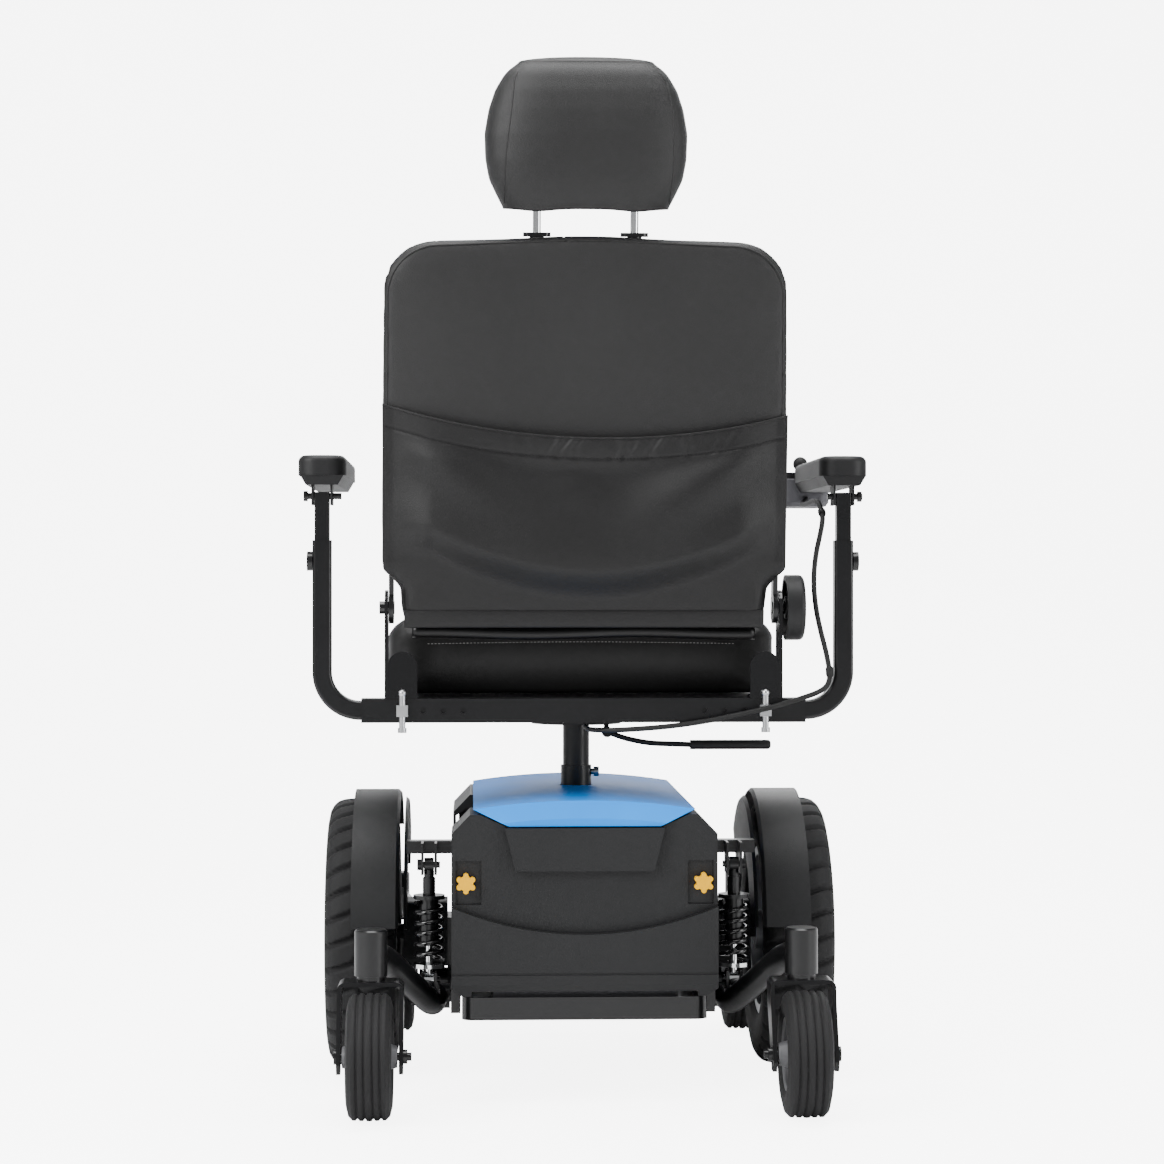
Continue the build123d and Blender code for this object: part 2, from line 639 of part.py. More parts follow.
def back_frame():
    """Backrest frame: hinge arms, two uprights with a top bar, and the headrest's guide bushes."""
    with BuildPart() as frame:
        for side, _ in SIDES:
            across(side * 237, side * 243, HINGE_Y, HINGE_Z, 20)
        with BuildSketch(back_plane.offset(-15)):
            for side, _ in SIDES:
                with Locations((side * 240, 60)):
                    Rectangle(6, 130)
                with Locations((side * 229, 270)):
                    Rectangle(20, 300)
            with Locations((0, 410)):
                Rectangle(478, 20)
        extrude(amount=24)
        for side, _ in SIDES:
            across(side * 230, side * 250, HINGE_Y, HINGE_Z, 8 + GAP, mode=Mode.SUBTRACT)
        with BuildSketch(Plane(back_plane.location * Location((0, 400, 0), (-90, 0, 0)))):
            for side, _ in SIDES:
                with Locations((side * HEADREST_X, 0)):
                    Circle(9)
        extrude(amount=62)
        with BuildSketch(Plane(back_plane.location * Location((0, 461, 0), (-90, 0, 0)))):
            for side, _ in SIDES:
                with Locations((side * HEADREST_X, 0)):
                    SlotOverall(34, 18)
        extrude(amount=5)
        with BuildSketch(Plane(back_plane.location * Location((0, 350, 0), (-90, 0, 0)))):
            for side, _ in SIDES:
                with Locations((side * HEADREST_X, 0)):
                    Circle(5 + GAP)
        extrude(amount=130, mode=Mode.SUBTRACT)
    save(frame.part, "back_frame")


def back_cushion():
    """Padded back with its cover: full width above the hinges and narrower between them."""
    with BuildPart() as cushion:
        with BuildSketch(back_plane.offset(-40)):
            with BuildLine():
                Polyline(
                    (-232, -20),
                    (232, -20),
                    (232, 50),
                    (BACK_HALF, 72),
                    (BACK_HALF, BACK_TOP),
                    (-BACK_HALF, BACK_TOP),
                    (-BACK_HALF, 72),
                    (-232, 50),
                    close=True,
                )
            make_face()
        extrude(amount=78)
        tall = cushion.edges().filter_by(lambda e: e.length > 77 and e.length < 79)
        fillet(tall.sort_by(Axis.Z)[-4:], 48)
        with BuildSketch(Plane(back_plane.location * Location((0, 330, 0), (-90, 0, 0)))):
            for side, _ in SIDES:
                with Locations((side * HEADREST_X, 0)):
                    Circle(5 + GAP)
        extrude(amount=140, mode=Mode.SUBTRACT)
    save(cushion.part, "back_cushion")


def headrest():
    """Padded headrest on two chromed rods."""
    with BuildPart() as rods:
        with BuildSketch(Plane(back_plane.location * Location((0, 352, 0), (-90, 0, 0)))):
            for side, _ in SIDES:
                with Locations((side * HEADREST_X, 0)):
                    Circle(5)
        extrude(amount=240)
    save(rods.part, "headrest_rods")

    with BuildPart() as pad:
        with BuildSketch(back_plane.offset(-58)):
            with Locations((0, 584)):
                RectangleRounded(246, 188, 46)
        extrude(amount=100)
        fillet(pad.faces().sort_by(Axis.Y)[0].edges(), 26)
    save(pad.part, "headrest")


# ---------------------------------------------------------------- armrests
def armrest(side, tag):
    """Bent square tube that slides in the seat's rear tube, a riser that slides in it, and the flip-up pad."""
    x = side * ARM_X
    middle_z = (TUBE_Z0 + TUBE_Z1) / 2
    elbow = [(side * 120, ARM_Y, middle_z), (x, ARM_Y, middle_z), (x, ARM_Y, 697)]
    with BuildPart() as tube:
        with BuildLine() as path:
            FilletPolyline(elbow, radius=48)
        with BuildSketch(path.line ^ 0):
            RectangleRounded(ARM_TUBE, ARM_TUBE, 4)
        sweep(path=path.line)
        with BuildSketch(path.line ^ 0):
            RectangleRounded(ARM_TUBE - 4.6, ARM_TUBE - 4.6, 1.7)
        sweep(path=path.line, mode=Mode.SUBTRACT)
        # round locking knob near the top
        across(x + side * ARM_TUBE / 2, x + side * (ARM_TUBE / 2 + 7), ARM_Y, 671, 12)
    save(tube.part, f"arm_tube_{tag}")

    with BuildPart() as riser:
        with BuildSketch(Plane.XY.offset(600)):
            with Locations((x, ARM_Y)):
                RectangleRounded(RISER_TUBE, RISER_TUBE, 1.4)
        extrude(amount=157)
        block(x - 7, x + 7, ARM_Y - 7, ARM_Y + 7, 599, 735, mode=Mode.SUBTRACT)
        across(x - 20, x + 24, ARM_Y, ARM_PIVOT_Z, SHOCK_PIN_R)
        across(x + side * 18, x + side * 23, ARM_Y, ARM_PIVOT_Z, 6.5)
    save(riser.part, f"arm_riser_{tag}")

    with BuildPart() as pad:
        for near, far in ((10.5, 13), (-13, -10.5)):
            block(x + near, x + far, ARM_Y - 10, ARM_Y + 24, 741, 768)
        across(x - 14, x + 14, ARM_Y, ARM_PIVOT_Z, SHOCK_PIN_R + GAP, mode=Mode.SUBTRACT)
        # moulded base, narrower below
        with BuildSketch(Plane.XZ.offset(-ARM_Y + 14)):
            with BuildLine():
                Polyline((x - 20, 766), (x + 20, 766), (x + 27, 778), (x - 27, 778), close=True)
            make_face()
        extrude(amount=-296)
    with BuildPart() as cushion:
        with BuildSketch(Plane.XY.offset(778.1)):
            with Locations((x, ARM_Y + 134)):
                RectangleRounded(60, 298, 22)
        extrude(amount=ARM_TOP - 778.1)
        fillet(cushion.faces().sort_by(Axis.Z)[-1].edges(), 8)
    save(Compound(children=[*pad.part.solids(), *cushion.part.solids()]), f"arm_pad_{tag}")


# ---------------------------------------------------------------- joystick
def joystick():
    """Controller at the front of the right armrest, with a two-axis stick and two keys."""
    x, y0, y1, z0, z1 = ARM_X - 12, -22, 84, 748, 794
    mid = (y0 + y1) / 2 + 10
    with BuildPart() as housing:
        block(x - 32, x + 32, y0, y1, z0, z1)
        fillet(housing.edges().filter_by(Axis.Z), 14)
        chamfer(housing.faces().sort_by(Axis.Z)[0].edges(), 6)
        with Locations((x, mid, z1)):
            Sphere(21, mode=Mode.SUBTRACT)
        for key_y in (-12, 2):
            block(x - 11, x + 11, key_y, key_y + 9, z1 - 6, z1 + 1, mode=Mode.SUBTRACT)
        upright(x, mid, z1 - 32, z1 - 17.2, 4)
    save(housing.part, "joystick_housing")

    with BuildPart() as gimbal:
        with Locations((x, mid, z1 - 8)):
            Sphere(9)
        across(x - 13, x + 13, mid, z1 - 8, 3)
        with Locations(Location((x, mid, z1 - 8), (90, 0, 0))):
            Cylinder(3, 26)
        across(x - 20, x + 20, mid, z1 - 8, 2.2, mode=Mode.SUBTRACT)
        upright(x, mid, z1 - 5, z1 + 20, 6.5, mode=Mode.SUBTRACT)
    save(gimbal.part, "joystick_gimbal")

    with BuildPart() as handle:
        upright(x, mid, z1 - 3.5, z1 + 14, 3)
        with Locations((x, mid, z1 + 14)):
            Sphere(10)
        upright(x, mid, z1 + 3, z1 + 8, 6)
    save(handle.part, "joystick_handle")

    for name, key_y in (("power_key", -12), ("horn_key", 2)):
        with BuildPart() as key:
            block(x - 10.5, x + 10.5, key_y + 0.5, key_y + 8.5, z1 - 4, z1 + 1.5)
            fillet(key.faces().sort_by(Axis.Z)[-1].edges(), 1)
        save(key.part, name)


# The controller's lead, in the order it runs: under the armrest, down in a bow to the elbow,
# then across behind the rear tube and up into the spine.
LEAD_R = 3.3
LEAD_ARM = [
    (314, -23.3, 759),
    (306, -52, 750),
    (300, -95, 749),
    (299, -145, 747),
    (299, -195, 748),
    (299, -240, 749),
    (300, -276, 746),
    (301, -297, 733),
]
LEAD_BOW = [
    (301, -297.8, 732.4),
    (301, -308, 726),
    (297, -318, 708),
    (290, -321, 680),
    (287, -322, 646),
    (290, -322, 612),
    (297, -322, 580),
    (304, -323, 554),
    (307, -325, 534),
]
LEAD_CROSS = [
    (307.1, -325.1, 532.8),
    (307.5, -326, 520),
    (297, -331, 509),
    (270, -337, 500),
    (236, -343, 490),
    (196, -341, 481),
    (152, -337, 472),
    (108, -334, 465.5),
    (66, -331, 462),
    (32, -324, 460),
    (12, -300, 459.5),
    (6, -268, 459),
    (5, -238, 461),
]


def lead(points, name):
    """One stretch of the lead: straight runs joined by the largest tangent arcs."""
    radii = bent_radii(points)
    with BuildPart() as stretch:
        with BuildLine() as path:
            FilletPolyline(points, radius=radii)
        with BuildSketch(path.line ^ 0):
            Circle(LEAD_R)
        sweep(path=path.line)
    length = path.wires()[0].length
    ratio = stretch.part.volume / (pi * LEAD_R**2 * length)
    print(name, "radii", [round(r) for r in radii], "length", round(length), "volume ratio", round(ratio, 3))
    save(stretch.part, name)


# ---------------------------------------------------------------- the whole chair
base_frame()
battery_tray()
batteries()
rear_shroud()
top_shroud()
front_shroud()
for side, tag in SIDES:
    drive_motor(side, tag)
    fender(side, tag)
    drive_wheel(side, tag)
    rear_arm(side, tag)
    front_arm(side, tag)
    caster(side * REAR_X, REAR_Y, "rear", tag, side)
    caster(side * FRONT_X, FRONT_Y, "front", tag, side)
    thumb_screw(side, tag)
    armrest(side, tag)
shocks()
foot_platform()
seat_post()
seat_frame()
hinge_plates()
swivel_lever()
recline_knob()
seat_cushion()
back_frame()
back_cushion()
headrest()
joystick()
lead(LEAD_ARM, "lead_arm")
lead(LEAD_BOW, "lead_bow")
lead(LEAD_CROSS, "lead_cross")
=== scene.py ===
"""Power wheelchair seen from behind: camera, light, the lead, upholstery, tyres and finishes.

Metres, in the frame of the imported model: +Y is the way the chair drives, +X its right-hand side.
"""

import json
from math import cos, pi, radians, sin

import bpy
import numpy as np
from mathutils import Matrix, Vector
from mathutils.bvhtree import BVHTree


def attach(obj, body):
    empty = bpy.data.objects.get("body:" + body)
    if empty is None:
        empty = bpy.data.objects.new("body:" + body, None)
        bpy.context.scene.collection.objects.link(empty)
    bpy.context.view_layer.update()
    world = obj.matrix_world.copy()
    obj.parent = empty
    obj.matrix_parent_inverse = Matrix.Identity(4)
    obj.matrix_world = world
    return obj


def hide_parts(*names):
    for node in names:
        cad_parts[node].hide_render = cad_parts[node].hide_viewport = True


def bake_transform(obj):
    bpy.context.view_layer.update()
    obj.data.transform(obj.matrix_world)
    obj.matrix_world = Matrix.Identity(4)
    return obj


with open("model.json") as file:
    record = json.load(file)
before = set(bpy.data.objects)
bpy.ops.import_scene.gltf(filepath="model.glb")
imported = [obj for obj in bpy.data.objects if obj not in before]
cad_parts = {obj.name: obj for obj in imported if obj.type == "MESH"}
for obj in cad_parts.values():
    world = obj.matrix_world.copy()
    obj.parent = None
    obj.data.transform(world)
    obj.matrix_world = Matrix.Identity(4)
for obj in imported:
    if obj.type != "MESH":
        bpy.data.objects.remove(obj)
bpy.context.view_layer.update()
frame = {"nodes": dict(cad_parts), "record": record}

# ---------------------------------------------------------------- camera and light
# The camera stands behind the chair at seat height, far back and a little to its left.
# A broad soft light hangs to the camera's left, a weaker one to its right, a square one overhead, and
# the fourth beyond the chair. The floor is a white seamless sweep, brighter to the camera than to the
# chair.
AXLE_Y = -0.060
turn = radians(-2.3)
distance = 3.70
camera_data = bpy.data.cameras.new("camera")
camera_data.lens = 85.3
camera_data.sensor_width = 36
camera = bpy.data.objects.new("camera", camera_data)
bpy.context.collection.objects.link(camera)
camera.location = (distance * sin(turn) + 0.008, AXLE_Y - distance * cos(turn), 0.645)
camera.rotation_euler = (radians(90), 0, turn)
bpy.context.scene.camera = camera


def area_light(name, place, aim, width, height, power, tint=(1, 1, 1)):
    """A rectangular soft light at place, facing aim."""
    data = bpy.data.lights.new(name, "AREA")
    data.shape = "RECTANGLE"
    data.size = width
    data.size_y = height
    data.energy = power
    data.color = tint
    lamp = bpy.data.objects.new(name, data)
    bpy.context.collection.objects.link(lamp)
    lamp.location = place
    direction = np.array(aim, float) - np.array(place, float)
    lamp.rotation_euler = Vector(direction).to_track_quat("-Z", "Y").to_euler()


area_light("key", (-2.6, -2.3, 2.2), (0, 0, 0.6), 1.6, 1.8, 150)
area_light("fill", (2.9, -1.9, 1.3), (0, 0, 0.6), 1.2, 2.0, 60)
area_light("top", (0, -0.4, 3.4), (0, -0.1, 0.6), 2.4, 2.4, 150)
area_light("back", (0.8, 3.2, 2.2), (0, 0, 0.5), 2.0, 1.6, 45)

world = bpy.data.worlds.new("studio")
bpy.context.scene.world = world
world.use_nodes = True
world.node_tree.nodes["Background"].inputs[0].default_value = (0.95, 0.96, 0.97, 1)
world.node_tree.nodes["Background"].inputs[1].default_value = 0.42

floor_mesh = bpy.data.meshes.new("floor")
rows = 40
ys = np.concatenate([np.linspace(-8, 2.6, 8), 2.6 + 1.6 * np.sin(np.linspace(0.1, pi / 2, rows))])
zs = np.concatenate([np.zeros(8), 1.6 - 1.6 * np.cos(np.linspace(0.1, pi / 2, rows))])
ys = np.append(ys, ys[-1])
zs = np.append(zs, 7.0)
points = [(x, y, z) for y, z in zip(ys, zs) for x in (-9.0, 9.0)]
quads = [(2 * i, 2 * i + 1, 2 * i + 3, 2 * i + 2) for i in range(len(ys) - 1)]
floor_mesh.from_pydata(points, [], quads)
floor = bpy.data.objects.new("floor", floor_mesh)
bpy.context.collection.objects.link(floor)
floor_paint = bpy.data.materials.new("floor_paper")
floor_paint.use_nodes = True
floor_shader = floor_paint.node_tree.nodes["Principled BSDF"]
floor_shader.inputs["Base Color"].default_value = (0.92, 0.92, 0.925, 1)
floor_shader.inputs["Roughness"].default_value = 0.75
floor_shader.inputs["Emission Color"].default_value = (1, 1, 1, 1)
floor_rays = floor_paint.node_tree.nodes.new("ShaderNodeLightPath")
floor_glow = floor_paint.node_tree.nodes.new("ShaderNodeMath")
floor_glow.operation = "MULTIPLY"
floor_glow.inputs[1].default_value = 6.0
floor_paint.node_tree.links.new(floor_rays.outputs["Is Camera Ray"], floor_glow.inputs[0])
floor_paint.node_tree.links.new(floor_glow.outputs["Value"], floor_shader.inputs["Emission Strength"])
floor_mesh.materials.append(floor_paint)
floor_mesh.polygons.foreach_set("use_smooth", [True] * len(floor_mesh.polygons))

# ---------------------------------------------------------------- finishes
# One material per slot of the record. Moulded plastic and vinyl have a fine relief; powder coat has a
# faint orange peel; polished metal has a slight haze. Every relief reads Object coordinates.


def relief_group(name, scale, roughness):
    """A node group that turns noise of one grain size into a bump normal, and gives a broad mask."""
    group = bpy.data.node_groups.new(name, "ShaderNodeTree")
    group.interface.new_socket("Depth", in_out="INPUT", socket_type="NodeSocketFloat")
    group.interface.new_socket("Normal", in_out="OUTPUT", socket_type="NodeSocketVector")
    group.interface.new_socket("Mask", in_out="OUTPUT", socket_type="NodeSocketFloat")
    nodes = group.nodes
    start = nodes.new("NodeGroupInput")
    end = nodes.new("NodeGroupOutput")
    place = nodes.new("ShaderNodeTexCoord")
    noise = nodes.new("ShaderNodeTexNoise")
    noise.inputs["Scale"].default_value = scale
    noise.inputs["Detail"].default_value = 3
    noise.inputs["Roughness"].default_value = roughness
    broad = nodes.new("ShaderNodeTexNoise")
    broad.inputs["Scale"].default_value = 9
    broad.inputs["Detail"].default_value = 2
    bump = nodes.new("ShaderNodeBump")
    bump.inputs["Distance"].default_value = 0.001
    link = group.links.new
    link(place.outputs["Object"], noise.inputs["Vector"])
    link(place.outputs["Object"], broad.inputs["Vector"])
    link(noise.outputs["Fac"], bump.inputs["Height"])
    link(start.outputs["Depth"], bump.inputs["Strength"])
    link(bump.outputs["Normal"], end.inputs["Normal"])
    link(broad.outputs["Fac"], end.inputs["Mask"])
    return group


fine_relief = relief_group("fine_relief", 900, 0.6)
peel_relief = relief_group("peel_relief", 260, 0.5)


def finish(name, colour, rough, metal=0.0, relief=fine_relief, depth=0.15, coat=0.0, spread=0.06, shine=0.32):
    """A material whose roughness and tone drift a little over the piece."""
    material = bpy.data.materials.new(name)
    material.use_nodes = True
    tree = material.node_tree
    shader = tree.nodes["Principled BSDF"]
    shader.inputs["Metallic"].default_value = metal
    shader.inputs["Specular IOR Level"].default_value = 0.5 if metal > 0.5 else shine
    shader.inputs["Coat Weight"].default_value = coat
    shader.inputs["Coat Roughness"].default_value = 0.12
    group = tree.nodes.new("ShaderNodeGroup")
    group.node_tree = relief
    group.inputs["Depth"].default_value = depth
    tree.links.new(group.outputs["Normal"], shader.inputs["Normal"])
    rough_range = tree.nodes.new("ShaderNodeMapRange")
    rough_range.inputs["To Min"].default_value = max(0.03, rough - spread)
    rough_range.inputs["To Max"].default_value = min(1.0, rough + spread)
    tree.links.new(group.outputs["Mask"], rough_range.inputs["Value"])
    tree.links.new(rough_range.outputs["Result"], shader.inputs["Roughness"])
    tone = tree.nodes.new("ShaderNodeMix")
    tone.data_type = "RGBA"
    tone.inputs[6].default_value = (*[c * 0.86 for c in colour], 1)
    tone.inputs[7].default_value = (*[min(1, c * 1.12) for c in colour], 1)
    tree.links.new(group.outputs["Mask"], tone.inputs["Factor"])
    tree.links.new(tone.outputs[2], shader.inputs["Base Color"])
    return material


paint = {
    "frame_black": finish(
        "frame_black", (0.0045, 0.0045, 0.005), 0.30, relief=peel_relief, depth=0.12, coat=0.25
    ),
    "shroud_black": finish("shroud_black", (0.0115, 0.0118, 0.0125), 0.44, depth=0.35),
    "shroud_blue": finish("shroud_blue", (0.0, 0.27, 0.90), 0.42, relief=peel_relief, depth=0.05, shine=0.08),
    "thumb_yellow": finish("thumb_yellow", (0.92, 0.46, 0.0), 0.40, depth=0.05, shine=0.15),
    "tyre_black": finish("tyre_black", (0.0095, 0.0095, 0.010), 0.70, depth=0.5),
    "rim_grey": finish("rim_grey", (0.30, 0.31, 0.32), 0.35, metal=0.9, depth=0.1),
    "zinc": finish("zinc", (0.62, 0.63, 0.64), 0.30, metal=1.0, depth=0.08),
    "rod_chrome": finish("rod_chrome", (0.85, 0.86, 0.87), 0.10, metal=1.0, depth=0.02, spread=0.04),
    "vinyl_charcoal": finish("vinyl_charcoal", (0.0120, 0.0118, 0.0120), 0.46, depth=0.55, shine=0.36),
    "cloth_charcoal": finish("cloth_charcoal", (0.0070, 0.0068, 0.0070), 0.46, depth=0.4, shine=0.32),
    "plastic_black": finish("plastic_black", (0.0075, 0.0075, 0.008), 0.50, depth=0.25),
    "gloss_black": finish(
        "gloss_black", (0.0035, 0.0035, 0.004), 0.14, relief=peel_relief, depth=0.04, coat=0.6
    ),
    "rubber_black": finish("rubber_black", (0.008, 0.008, 0.008), 0.58, depth=0.3),
    "motor_grey": finish("motor_grey", (0.014, 0.015, 0.016), 0.5, depth=0.4),
    "battery_grey": finish("battery_grey", (0.10, 0.10, 0.11), 0.5, depth=0.3),
}
slots = {entry["node"]: entry["material_slot"] for entry in frame["record"]["subparts"]}
for node, piece in frame["nodes"].items():
    piece.data.materials.clear()
    piece.data.materials.append(paint[slots[node]])

# ---------------------------------------------------------------- joystick lead
# One black sheathed lead runs from under the controller back along the armrest, drops in a bow beside
# the upright, and crosses behind the seat tube to the spine. Clips hold it, so it is three stretches
# that meet at the armrest's pivot and at the elbow.
LEAD_WIDTH = 0.0066
lead_routes = {
    "lead_arm": [
        (0.314, -0.0233, 0.759),
        (0.306, -0.052, 0.750),
        (0.300, -0.095, 0.749),
        (0.299, -0.145, 0.747),
        (0.299, -0.195, 0.748),
        (0.299, -0.240, 0.749),
        (0.300, -0.276, 0.746),
        (0.301, -0.297, 0.733),
    ],
    "lead_bow": [
        (0.301, -0.2978, 0.7324),
        (0.301, -0.308, 0.726),
        (0.297, -0.318, 0.708),
        (0.290, -0.321, 0.680),
        (0.287, -0.322, 0.646),
        (0.290, -0.322, 0.612),
        (0.297, -0.322, 0.580),
        (0.304, -0.323, 0.554),
        (0.307, -0.325, 0.534),
    ],
    "lead_cross": [
        (0.3071, -0.3251, 0.5328),
        (0.3075, -0.326, 0.520),
        (0.297, -0.331, 0.509),
        (0.270, -0.337, 0.500),
        (0.236, -0.343, 0.490),
        (0.196, -0.341, 0.481),
        (0.152, -0.337, 0.472),
        (0.108, -0.334, 0.4655),
        (0.066, -0.331, 0.462),
        (0.032, -0.324, 0.460),
        (0.012, -0.300, 0.4595),
        (0.006, -0.268, 0.459),
        (0.005, -0.238, 0.461),
    ],
}


def line_of(route):
    """Points along a smooth spline through a route's runs: a quadratic B-spline with its ends held."""
    data = bpy.data.curves.new("route", "CURVE")
    data.dimensions = "3D"
    spline = data.splines.new("NURBS")
    spline.points.add(len(route) - 1)
    spline.points.foreach_set("co", np.hstack([np.array(route), np.ones((len(route), 1))]).ravel())
    spline.order_u = 3
    spline.use_endpoint_u = True
    spline.resolution_u = 12
    carrier = bpy.data.objects.new("route", data)
    drawn = bpy.data.meshes.new_from_object(carrier)
    line = np.empty(len(drawn.vertices) * 3)
    drawn.vertices.foreach_get("co", line)
    bpy.data.meshes.remove(drawn)
    bpy.data.objects.remove(carrier)
    bpy.data.curves.remove(data)
    return line.reshape(-1, 3)


def grid_piece(name, points, material, close_u=False, close_v=False, caps=False, smooth=True):
    """A mesh over a grid of points shaped (u, v, 3). Closed ways wrap round; caps fill the two end rows."""
    count_u, count_v = points.shape[:2]
    index = np.arange(count_u * count_v).reshape(count_u, count_v)
    if close_u:
        index = np.vstack([index, index[:1]])
    if close_v:
        index = np.hstack([index, index[:, :1]])
    corners = [index[:-1, :-1], index[:-1, 1:], index[1:, 1:], index[1:, :-1]]
    quads = np.stack([c.ravel() for c in corners], axis=1).tolist()
    if caps:
        quads.append(list(range(count_v - 1, -1, -1)))
        quads.append(list(range((count_u - 1) * count_v, count_u * count_v)))
    mesh = bpy.data.meshes.new(name)
    mesh.from_pydata(points.reshape(-1, 3).tolist(), [], quads)
    mesh.polygons.foreach_set("use_smooth", [smooth] * len(mesh.polygons))
    mesh.materials.append(material)
    mesh.update()
    piece = bpy.data.objects.new(name, mesh)
    bpy.context.collection.objects.link(piece)
    return piece


def tube_points(line, radius, sides=14):
    """Rings of a round section carried along a line: each ring stands square to the line's tangent."""
    line = np.asarray(line, float)
    tangent = np.gradient(line, axis=0)
    tangent /= np.linalg.norm(tangent, axis=1, keepdims=True)
    least = np.argmin(np.abs(tangent).sum(axis=0))
    helper = np.eye(3)[least]
    side = np.cross(tangent, helper)
    side /= np.linalg.norm(side, axis=1, keepdims=True)
    other = np.cross(tangent, side)
    angle = np.linspace(0, 2 * pi, sides, endpoint=False)
    radius = np.broadcast_to(np.asarray(radius, float).reshape(-1, 1, 1), (len(line), 1, 1))
    ring = np.cos(angle)[None, :, None] * side[:, None] + np.sin(angle)[None, :, None] * other[:, None]
    return line[:, None] + radius * ring


for name, route in lead_routes.items():
    line = line_of(route)
    rings = tube_points(line, LEAD_WIDTH / 2)
    lead = grid_piece(f"{name}_sheath", rings, paint["rubber_black"], close_v=True, caps=True)
    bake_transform(lead)
    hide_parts(name)

# two barrel-shaped rubber clips close over the places where the stretches meet
lead_clips = {
    "lead_clip_pivot": ((0.3006, -0.2925, 0.7358), (0.3011, -0.3022, 0.7297), "arm_riser_right"),
    "lead_clip_elbow": ((0.3066, -0.3246, 0.5395), (0.3074, -0.3256, 0.5265), "arm_tube_right"),
}
for name, (first, last, body) in lead_clips.items():
    t = np.linspace(0, 1, 9)[:, None]
    line = np.array(first) * (1 - t) + np.array(last) * t
    radius = LEAD_WIDTH / 2 + 0.0014 * (1 - np.abs(2 * t.ravel() - 1) ** 6) + 0.0002
    rings = tube_points(line, radius, sides=20)
    clip = grid_piece(name, rings, paint["rubber_black"], close_v=True, caps=True)
    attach(clip, body)

# ---------------------------------------------------------------- stuffed cushions
# Seat, back and headrest are foam in sewn vinyl covers. The seat and the back start as closed slabs a
# little small for their place, and cloth under air pressure swells them between their pinned seams.
# The headrest is drawn as level rings. The backrest's own frame starts at its hinge and leans with it.
HINGE = np.array([0, -0.305, 0.613])
TILT = radians(8)
UP = np.array([0, -sin(TILT), cos(TILT)])
REARWARD = np.array([0, -cos(TILT), -sin(TILT)])
ACROSS = np.array([1.0, 0, 0])


def on_back(x, up, out):
    """Points of the leaning backrest: x across, up along it from the hinge, out behind its middle plane."""
    x, up, out = np.broadcast_arrays(x, up, out)
    return HINGE + x[..., None] * ACROSS + up[..., None] * UP + out[..., None] * REARWARD


def rounded_outline(corners, radii, per_corner=10):
    """A closed outline in the plane: each corner is replaced by an arc tangent to its two sides."""
    corners = np.array(corners, float)
    outline = []
    for i, corner in enumerate(corners):
        before = corners[i - 1] - corner
        after = corners[(i + 1) % len(corners)] - corner
        before /= np.linalg.norm(before)
        after /= np.linalg.norm(after)
        half = 0.5 * np.arccos(np.clip(before @ after, -1, 1))
        reach = radii[i] / np.tan(half)
        middle = before + after
        centre = corner + middle / np.linalg.norm(middle) * radii[i] / sin(half)
        first = corner + before * reach - centre
        last = corner + after * reach - centre
        a0 = np.arctan2(first[1], first[0])
        swing = (np.arctan2(last[1], last[0]) - a0 + pi) % (2 * pi) - pi
        angle = a0 + swing * np.linspace(0, 1, per_corner)
        outline.append(centre + radii[i] * np.stack([np.cos(angle), np.sin(angle)], axis=1))
    return np.vstack(outline)


def slab(name, outline, low, high, edge, place, material):
    """A closed slab: the outline runs round it, and along the other way it goes centre of one face,
    rounded edge, wall, rounded edge, centre of the other face. place(a, b, h) maps it into the frame."""
    quarter = np.linspace(0, pi / 2, 5)
    inset = np.concatenate([np.full(4, edge), edge * (1 - np.sin(quarter))])
    height = np.concatenate([np.full(4, low), low + edge * (1 - np.cos(quarter))])
    inset = np.concatenate([inset, inset[::-1]])
    height = np.concatenate([height, low + high - height[::-1]])
    spread = np.concatenate([[0.04, 0.35, 0.65, 0.9], np.ones(10), [0.9, 0.65, 0.35, 0.04]])
    centre = outline.mean(axis=0)
    along = np.roll(outline, -1, axis=0) - np.roll(outline, 1, axis=0)
    normal = np.stack([along[:, 1], -along[:, 0]], axis=1)
    normal /= np.linalg.norm(normal, axis=1, keepdims=True)
    if ((outline - centre) * normal).sum() < 0:
        normal = -normal
    flat = outline[None] - inset[:, None, None] * normal[None] - centre
    flat = centre + flat * spread[:, None, None]
    points = place(flat[..., 0], flat[..., 1], np.broadcast_to(height[:, None], flat.shape[:2]))
    return grid_piece(name, points, material, close_v=True, caps=True)


def even_mesh(piece, voxel):
    """Replaces the piece's mesh with even small quads over the same surface."""
    remesh = piece.modifiers.new("even", "REMESH")
    remesh.mode = "VOXEL"
    remesh.voxel_size = voxel
    graph = bpy.context.evaluated_depsgraph_get()
    fresh = bpy.data.meshes.new_from_object(piece.evaluated_get(graph))
    piece.modifiers.clear()
    piece.data = fresh


def places_of(piece):
    """The places of the piece's vertices, one row each."""
    co = np.empty(len(piece.data.vertices) * 3)
    piece.data.vertices.foreach_get("co", co)
    return co.reshape(-1, 3)


SETTLE_FRAMES = 20  # how long a cushion's cloth is left to swell


